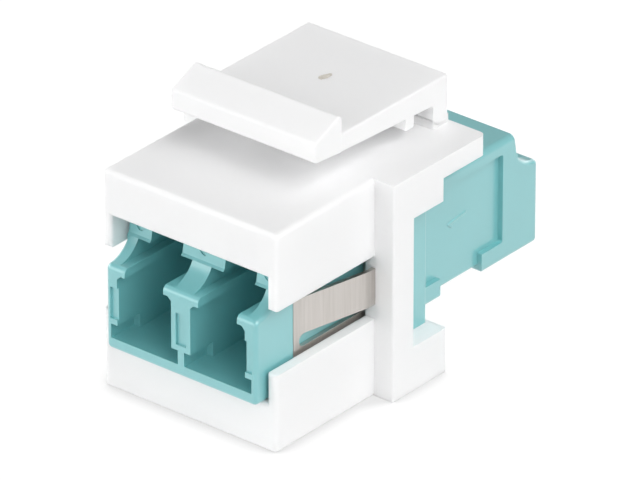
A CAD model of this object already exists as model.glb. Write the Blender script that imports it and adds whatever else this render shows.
import math
import bpy
import numpy as np
from mathutils import Matrix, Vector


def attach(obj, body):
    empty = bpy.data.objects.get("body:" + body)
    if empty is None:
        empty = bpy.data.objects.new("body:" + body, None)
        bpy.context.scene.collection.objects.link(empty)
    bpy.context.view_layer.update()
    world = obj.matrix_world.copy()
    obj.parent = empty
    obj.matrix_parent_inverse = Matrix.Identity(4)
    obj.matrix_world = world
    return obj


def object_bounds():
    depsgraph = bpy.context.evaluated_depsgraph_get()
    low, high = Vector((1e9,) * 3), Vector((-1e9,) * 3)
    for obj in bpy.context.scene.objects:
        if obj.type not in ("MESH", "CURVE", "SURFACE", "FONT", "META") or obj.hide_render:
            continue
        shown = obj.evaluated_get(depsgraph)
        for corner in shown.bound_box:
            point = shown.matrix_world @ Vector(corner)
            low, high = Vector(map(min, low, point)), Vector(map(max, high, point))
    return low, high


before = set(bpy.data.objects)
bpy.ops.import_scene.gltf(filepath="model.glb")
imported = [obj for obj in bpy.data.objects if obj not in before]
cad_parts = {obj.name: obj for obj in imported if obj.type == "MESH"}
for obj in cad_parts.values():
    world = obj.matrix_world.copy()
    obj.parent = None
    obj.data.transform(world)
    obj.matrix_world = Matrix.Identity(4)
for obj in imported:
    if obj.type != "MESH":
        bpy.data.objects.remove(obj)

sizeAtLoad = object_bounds()
print("frame loaded:", len(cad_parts), "parts")


# Shader helpers

def newMaterial(name):
    mat = bpy.data.materials.new(name)
    mat.use_nodes = True
    return mat, mat.node_tree, mat.node_tree.nodes["Principled BSDF"]


def addNode(tree, kind, **settings):  # a setting is one of the node's own options or the name of an input
    node = tree.nodes.new(kind)
    for key, value in settings.items():
        if hasattr(node, key):
            setattr(node, key, value)
        else:
            node.inputs[key].default_value = value
    return node


def feed(tree, socket, value):  # value is a link from another node, or a constant
    if isinstance(value, bpy.types.NodeSocket):
        tree.links.new(value, socket)
    else:
        socket.default_value = value


mixSockets = {"RGBA": (6, 7, 2), "FLOAT": (2, 3, 0)}  # first, second and result of a Mix node


def blend(tree, kind, factor, first, second):
    # first * (1 - factor) + second * factor
    mix = addNode(tree, "ShaderNodeMix", data_type=kind)
    firstAt, secondAt, resultAt = mixSockets[kind]
    feed(tree, mix.inputs["Factor"], factor)
    feed(tree, mix.inputs[firstAt], first)
    feed(tree, mix.inputs[secondAt], second)
    return mix.outputs[resultAt]


def compute(tree, operation, first, second):
    node = addNode(tree, "ShaderNodeMath", operation=operation)
    feed(tree, node.inputs[0], first)
    feed(tree, node.inputs[1], second)
    return node.outputs[0]


def objectPlace(tree):
    return addNode(tree, "ShaderNodeTexCoord").outputs["Object"]


def noise(tree, place, scale, detail):
    node = addNode(tree, "ShaderNodeTexNoise", Scale=scale, Detail=detail)
    tree.links.new(place, node.inputs["Vector"])
    return node.outputs["Fac"]


def bump(tree, height, strength, depth):
    node = addNode(tree, "ShaderNodeBump", Strength=strength, Distance=depth)
    tree.links.new(height, node.inputs["Height"])
    return node.outputs["Normal"]


def setShader(tree, shader, values):
    for socket, value in values.items():
        feed(tree, shader.inputs[socket], value)


def srgb(r, g, b):  # display colour 0-255 to linear
    c = np.array([r, g, b]) / 255.0
    lin = np.where(c <= 0.04045, c / 12.92, ((c + 0.055) / 1.055) ** 2.4)
    return (*lin.tolist(), 1.0)


# Moulded plastics: fine satin grain and a faint uneven tint; in the white, light spreads under the skin
plastic = {
    "white": {
        "colour": (247, 247, 247), "tint": (245, 245, 246), "roughness": 0.6, "specular": 0.15,
        "spread": 0.5, "coat": 0.0,
    },
    "aqua": {
        "colour": (124, 195, 198), "tint": (119, 191, 194), "roughness": 0.28, "specular": 1.0,
        "spread": 0.0, "coat": 1.0,
    },
    "cloudScale": 260.0, "cloudDetail": 3.0,
    "grainScale": 9000.0, "grainDetail": 2.0, "grainDepth": 0.000004, "grainStrength": 0.35,
    "spreadRadius": (1.0, 1.0, 1.0), "spreadScale": 0.0006, "coatRoughness": 0.28,
}


def plasticMaterial(name, s):
    mat, tree, shader = newMaterial(name)
    place = objectPlace(tree)
    cloud = noise(tree, place, plastic["cloudScale"], plastic["cloudDetail"])
    grain = noise(tree, place, plastic["grainScale"], plastic["grainDetail"])
    setShader(tree, shader, {
        "Base Color": blend(tree, "RGBA", cloud, srgb(*s["colour"]), srgb(*s["tint"])),
        "Normal": bump(tree, grain, plastic["grainStrength"], plastic["grainDepth"]),
        "Roughness": s["roughness"],
        "Specular IOR Level": s["specular"],
        "Subsurface Weight": s["spread"],
        "Subsurface Radius": plastic["spreadRadius"],
        "Subsurface Scale": plastic["spreadScale"],
        "Coat Weight": s["coat"],
        "Coat Roughness": plastic["coatRoughness"],
    })
    return mat


# Spring sheet: rolled steel with fine upright lines
sheetMetal = {
    "light": (214, 209, 205), "dark": (190, 185, 179), "roughness": 0.36,
    "lineScale": (5200.0, 5200.0, 180.0), "lineDetail": 4.0, "lineDepth": 0.000003, "lineStrength": 0.3,
}


def sheetMaterial(name, s):
    mat, tree, shader = newMaterial(name)
    stretch = addNode(tree, "ShaderNodeMapping", Scale=s["lineScale"])
    tree.links.new(objectPlace(tree), stretch.inputs["Vector"])
    lines = noise(tree, stretch.outputs["Vector"], 1.0, s["lineDetail"])
    setShader(tree, shader, {
        "Base Color": blend(tree, "RGBA", lines, srgb(*s["dark"]), srgb(*s["light"])),
        "Normal": bump(tree, lines, s["lineStrength"], s["lineDepth"]),
        "Metallic": 1.0,
        "Roughness": s["roughness"],
    })
    return mat


# Ferrule sleeves: polished ceramic
ceramic = {"colour": (233, 230, 220), "roughness": 0.18}


def ceramicMaterial(name, s):
    mat, tree, shader = newMaterial(name)
    setShader(tree, shader, {"Base Color": srgb(*s["colour"]), "Roughness": s["roughness"]})
    return mat


whitePlastic = plasticMaterial("whitePlastic", plastic["white"])
aquaPlastic = plasticMaterial("aquaPlastic", plastic["aqua"])
springSheet = sheetMaterial("springSheet", sheetMetal)
zirconia = ceramicMaterial("zirconia", ceramic)

finishes = {
    "keystone_carrier": whitePlastic,
    "latch_arm": whitePlastic,
    "adapter_front_shell": aquaPlastic,
    "adapter_rear_shell": aquaPlastic,
    "retaining_clip": springSheet,
    "ferrule_sleeve_left": zirconia,
    "ferrule_sleeve_right": zirconia,
}
for nodeName, finish in finishes.items():
    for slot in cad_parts[nodeName].material_slots:
        slot.material = finish
print("finishes set")


# Low reliefs on flat faces: a height field over a small grid, sunk a hair at its rim

def addRelief(name, s, heights, body, material):
    # point = middle + u * along + v * across + height * out
    rows, columns = heights.shape
    u = np.linspace(-0.5, 0.5, columns)[None, :] * s["length"]
    v = np.linspace(-0.5, 0.5, rows)[:, None] * s["width"]
    along = np.array(s["along"]) / np.linalg.norm(s["along"])
    out = np.array(s["out"])
    across = np.cross(out, along)
    points = np.array(s["middle"]) + u[..., None] * along + v[..., None] * across + heights[..., None] * out
    corner = (np.arange(rows - 1)[:, None] * columns + np.arange(columns - 1)[None, :]).ravel()
    quads = np.stack([corner, corner + 1, corner + columns + 1, corner + columns], 1)
    mesh = bpy.data.meshes.new(name)
    mesh.from_pydata(points.reshape(-1, 3).tolist(), [], quads.tolist())
    mesh.polygons.foreach_set("use_smooth", np.ones(len(quads), dtype=bool))
    mesh.materials.append(material)
    relief = bpy.data.objects.new(name, mesh)
    bpy.context.scene.collection.objects.link(relief)
    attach(relief, body)


def softStep(t):  # 0 to 1 along 3 t^2 - 2 t^3
    t = np.clip(t, 0.0, 1.0)
    return t * t * (3.0 - 2.0 * t)


# Gate mark on the latch plate: the torn end of the moulding's feed, a little burnt
gateMark = {
    "middle": (-0.00003, 0.01404, 0.01965), "along": (0.2, 1.0, 0.0), "out": (0.0, 0.0, 1.0),
    "length": 0.0014, "width": 0.00066, "height": 0.00006, "sink": 0.000004, "grid": (40, 72),
    "lumps": (9, 16), "seed": 4, "lean": 0.35, "roundness": 0.85, "raggedness": 0.3,
    "rim": 0.92, "rimWidth": 0.5, "evenness": 0.35,
    "tornColour": (188, 180, 166), "rimColour": (236, 233, 226), "roughness": 0.6,
    "toneScale": 2600.0, "toneDetail": 2.0,
}


def smoothLumps(s):
    # random values on a coarse grid, blended softly between the four nearest
    rows, columns = s["grid"]
    coarseRows, coarseColumns = s["lumps"]
    values = np.random.default_rng(s["seed"]).random((coarseRows, coarseColumns))
    rowAt = np.linspace(0, coarseRows - 1, rows)[:, None]
    columnAt = np.linspace(0, coarseColumns - 1, columns)[None, :]
    row = np.minimum(rowAt.astype(int), coarseRows - 2)
    column = np.minimum(columnAt.astype(int), coarseColumns - 2)
    down, over = softStep(rowAt - row), softStep(columnAt - column)
    near = values[row, column] * (1.0 - over) + values[row, column + 1] * over
    far = values[row + 1, column] * (1.0 - over) + values[row + 1, column + 1] * over
    return near * (1.0 - down) + far * down


def gateHeights(s):
    # an egg, radius = hypot(u, v * (1 + lean * u)), made ragged and lumpy, that falls softly to 0 at its rim
    rows, columns = s["grid"]
    u = np.linspace(-1.0, 1.0, columns)[None, :]
    v = np.linspace(-1.0, 1.0, rows)[:, None]
    lump = smoothLumps(s)
    radius = np.hypot(u, v * (1.0 + s["lean"] * u)) * (s["roundness"] + s["raggedness"] * lump)
    rise = softStep((s["rim"] - radius) / s["rimWidth"])
    return s["height"] * rise * (s["evenness"] + (1.0 - s["evenness"]) * lump) - s["sink"]


def gateMaterial(s):
    mat, tree, shader = newMaterial("tornGate")
    tone = noise(tree, objectPlace(tree), s["toneScale"], s["toneDetail"])
    setShader(tree, shader, {
        "Base Color": blend(tree, "RGBA", tone, srgb(*s["tornColour"]), srgb(*s["rimColour"])),
        "Roughness": s["roughness"],
    })
    return mat


addRelief("gate_mark", gateMark, gateHeights(gateMark), "latch", gateMaterial(gateMark))
print("gate mark made")

# Cavity number on the rear shell's side panel: a faint raised figure one, lying along the panel
cavityNumber = {
    "middle": (0.00598, 0.0204, 0.0085), "along": (0.0, 1.0, 0.13), "out": (1.0, 0.0, 0.0),
    "length": 0.0022, "width": 0.0009, "height": 0.00008, "sink": 0.000003, "grid": (46, 110),
    "stem": 0.0009, "stroke": 0.00008, "flag": 0.0003, "soft": 0.00005,
}


def numberHeights(s):
    # height = the softened nearness to the stem or to the flag, whichever is closer
    rows, columns = s["grid"]
    u = np.linspace(-0.5, 0.5, columns)[None, :] * s["length"]
    v = np.linspace(-0.5, 0.5, rows)[:, None] * s["width"]

    def ridge(startU, startV, endU, endV):  # 1 on a straight stroke, softly down to 0 beside it
        du, dv = endU - startU, endV - startV
        t = np.clip(((u - startU) * du + (v - startV) * dv) / (du * du + dv * dv), 0.0, 1.0)
        distance = np.hypot(u - startU - t * du, v - startV - t * dv)
        return softStep((s["stroke"] + s["soft"] - distance) / s["soft"])

    stem = ridge(-s["stem"], 0.0, s["stem"], 0.0)
    flag = ridge(-s["stem"], 0.0, -s["stem"] + s["flag"], -s["flag"])
    return s["height"] * np.maximum(stem, flag) - s["sink"]


addRelief("cavity_number", cavityNumber, numberHeights(cavityNumber), "module", aquaPlastic)
print("cavity number made")


# Floor: near white to the camera, with a narrow contact shadow
floorSettings = {
    "half": 0.6, "drop": 0.00002, "albedo": 0.8, "seenAlbedo": 0.12, "bounce": 0.011, "glow": 0.95,
    "shade": 1.05, "reach": 0.0023, "fall": 2.0, "deepest": 0.26, "samples": 16,
}


def seenRays(tree):  # 1 for what the camera sees directly or in a reflection
    path = addNode(tree, "ShaderNodeLightPath")
    return compute(tree, "MAXIMUM", path.outputs["Is Camera Ray"], path.outputs["Is Glossy Ray"])


def grey(level):
    return (level, level, level, 1.0)


def floorMaterial(s):
    # glow to the eye = glow - min(shade * (1 - openness) ^ fall, deepest)
    mat, tree, shader = newMaterial("paleFloor")
    tree.nodes.remove(shader)
    seen = seenRays(tree)
    near = addNode(tree, "ShaderNodeAmbientOcclusion", samples=s["samples"], Distance=s["reach"])
    closed = compute(tree, "SUBTRACT", 1.0, near.outputs["AO"])
    curve = compute(tree, "POWER", closed, s["fall"])
    dark = compute(tree, "MINIMUM", compute(tree, "MULTIPLY", curve, s["shade"]), s["deepest"])
    level = compute(tree, "SUBTRACT", s["glow"], dark)
    diffuse = addNode(tree, "ShaderNodeBsdfDiffuse")
    feed(tree, diffuse.inputs["Color"], blend(tree, "RGBA", seen, grey(s["albedo"]), grey(s["seenAlbedo"])))
    glow = addNode(tree, "ShaderNodeEmission")
    feed(tree, glow.inputs["Strength"], blend(tree, "FLOAT", seen, s["bounce"], level))
    both = addNode(tree, "ShaderNodeAddShader")
    tree.links.new(diffuse.outputs[0], both.inputs[0])
    tree.links.new(glow.outputs[0], both.inputs[1])
    tree.links.new(both.outputs[0], tree.nodes["Material Output"].inputs["Surface"])
    return mat


def addFloor(s):
    half, z = s["half"], sizeAtLoad[0][2] - s["drop"]
    mesh = bpy.data.meshes.new("floor")
    corners = [(-half, -half, z), (half, -half, z), (half, half, z), (-half, half, z)]
    mesh.from_pydata(corners, [], [(0, 1, 2, 3)])
    mesh.materials.append(floorMaterial(s))
    floor = bpy.data.objects.new("floor", mesh)
    bpy.context.scene.collection.objects.link(floor)


addFloor(floorSettings)
print("floor laid")

# Lamps: soft squares at an azimuth and elevation round the module's middle, with their watts
lampSettings = {
    "middle": (0.0, 0.01265, 0.010), "distance": 0.5, "size": 0.4,
    "lamps": {
        "left": (-70.0, 8.0, 1.45),
        "leftFront": (-35.0, 8.0, 0.87),
        "front": (0.0, 8.0, 0.92),
        "right": (70.0, 42.0, 1.40),
        "rightRear": (105.0, 42.0, 1.03),
        "rear": (180.0, 8.0, 1.00),
        "leftRear": (-110.0, 8.0, 0.65),
        "top": (40.0, 86.0, 0.13),
    },
    "worldLight": 0.0, "reflectedWorld": 0.4, "seenWorld": 1.0,
}


def orbitPoint(azimuth, elevation, distance, middle):
    # middle + distance * (sin a cos e, -cos a cos e, sin e)
    a, e = math.radians(azimuth), math.radians(elevation)
    away = np.array([math.sin(a) * math.cos(e), -math.cos(a) * math.cos(e), math.sin(e)])
    return np.array(middle) + distance * away, away


def lookAlong(away, roll):
    # columns right, up, back; back points from the target to the viewer
    right = np.cross([0.0, 0.0, 1.0], away)
    right /= np.linalg.norm(right)
    up = np.cross(away, right)
    cosRoll, sinRoll = math.cos(roll), math.sin(roll)
    return np.column_stack([cosRoll * right + sinRoll * up, cosRoll * up - sinRoll * right, away])


def place(obj, point, turn):
    world = np.eye(4)
    world[:3, :3] = turn
    world[:3, 3] = point
    obj.matrix_world = Matrix(world.tolist())
    bpy.context.scene.collection.objects.link(obj)


def addLamp(name, azimuth, elevation, watts, s):
    data = bpy.data.lights.new(name, "AREA")
    data.shape = "SQUARE"
    data.size = s["size"]
    data.energy = watts
    point, away = orbitPoint(azimuth, elevation, s["distance"], s["middle"])
    place(bpy.data.objects.new(name, data), point, lookAlong(away, 0.0))


def setWorld(s):  # one level for plain light, one for reflections, one for the camera
    world = bpy.data.worlds.new("studio")
    world.use_nodes = True
    tree = world.node_tree
    back = tree.nodes["Background"]
    path = addNode(tree, "ShaderNodeLightPath")
    indirect = blend(tree, "FLOAT", path.outputs["Is Glossy Ray"], s["worldLight"], s["reflectedWorld"])
    level = blend(tree, "FLOAT", path.outputs["Is Camera Ray"], indirect, s["seenWorld"])
    feed(tree, back.inputs["Color"], grey(1.0))
    feed(tree, back.inputs["Strength"], level)
    bpy.context.scene.world = world


for lampName, (lampAzimuth, lampElevation, lampWatts) in lampSettings["lamps"].items():
    addLamp(lampName, lampAzimuth, lampElevation, lampWatts, lampSettings)
setWorld(lampSettings)
print("lamps and world set")

# Camera fitted to the module's corners
cameraSettings = {
    "azimuth": 39.394, "elevation": 28.367, "roll": 0.027,
    "distance": 0.6, "focalPixels": 9115.9, "imageWidth": 640, "sensor": 36.0,
    "pivot": (0.0, 0.01015, 0.009), "aside": 0.002090, "above": 0.000073,
    "nearest": 0.01, "farthest": 10.0,
}


def addCamera(s):
    data = bpy.data.cameras.new("photoCamera")
    data.sensor_width = s["sensor"]
    data.lens = s["focalPixels"] / s["imageWidth"] * s["sensor"]
    data.clip_start = s["nearest"]
    data.clip_end = s["farthest"]
    point, away = orbitPoint(s["azimuth"], s["elevation"], s["distance"], s["pivot"])
    level = lookAlong(away, 0.0)
    point = point + s["aside"] * level[:, 0] + s["above"] * level[:, 1]
    camera = bpy.data.objects.new("photoCamera", data)
    place(camera, point, lookAlong(away, math.radians(s["roll"])))
    bpy.context.scene.camera = camera


addCamera(cameraSettings)
bpy.context.scene.view_settings.view_transform = "Standard"
print("camera set")
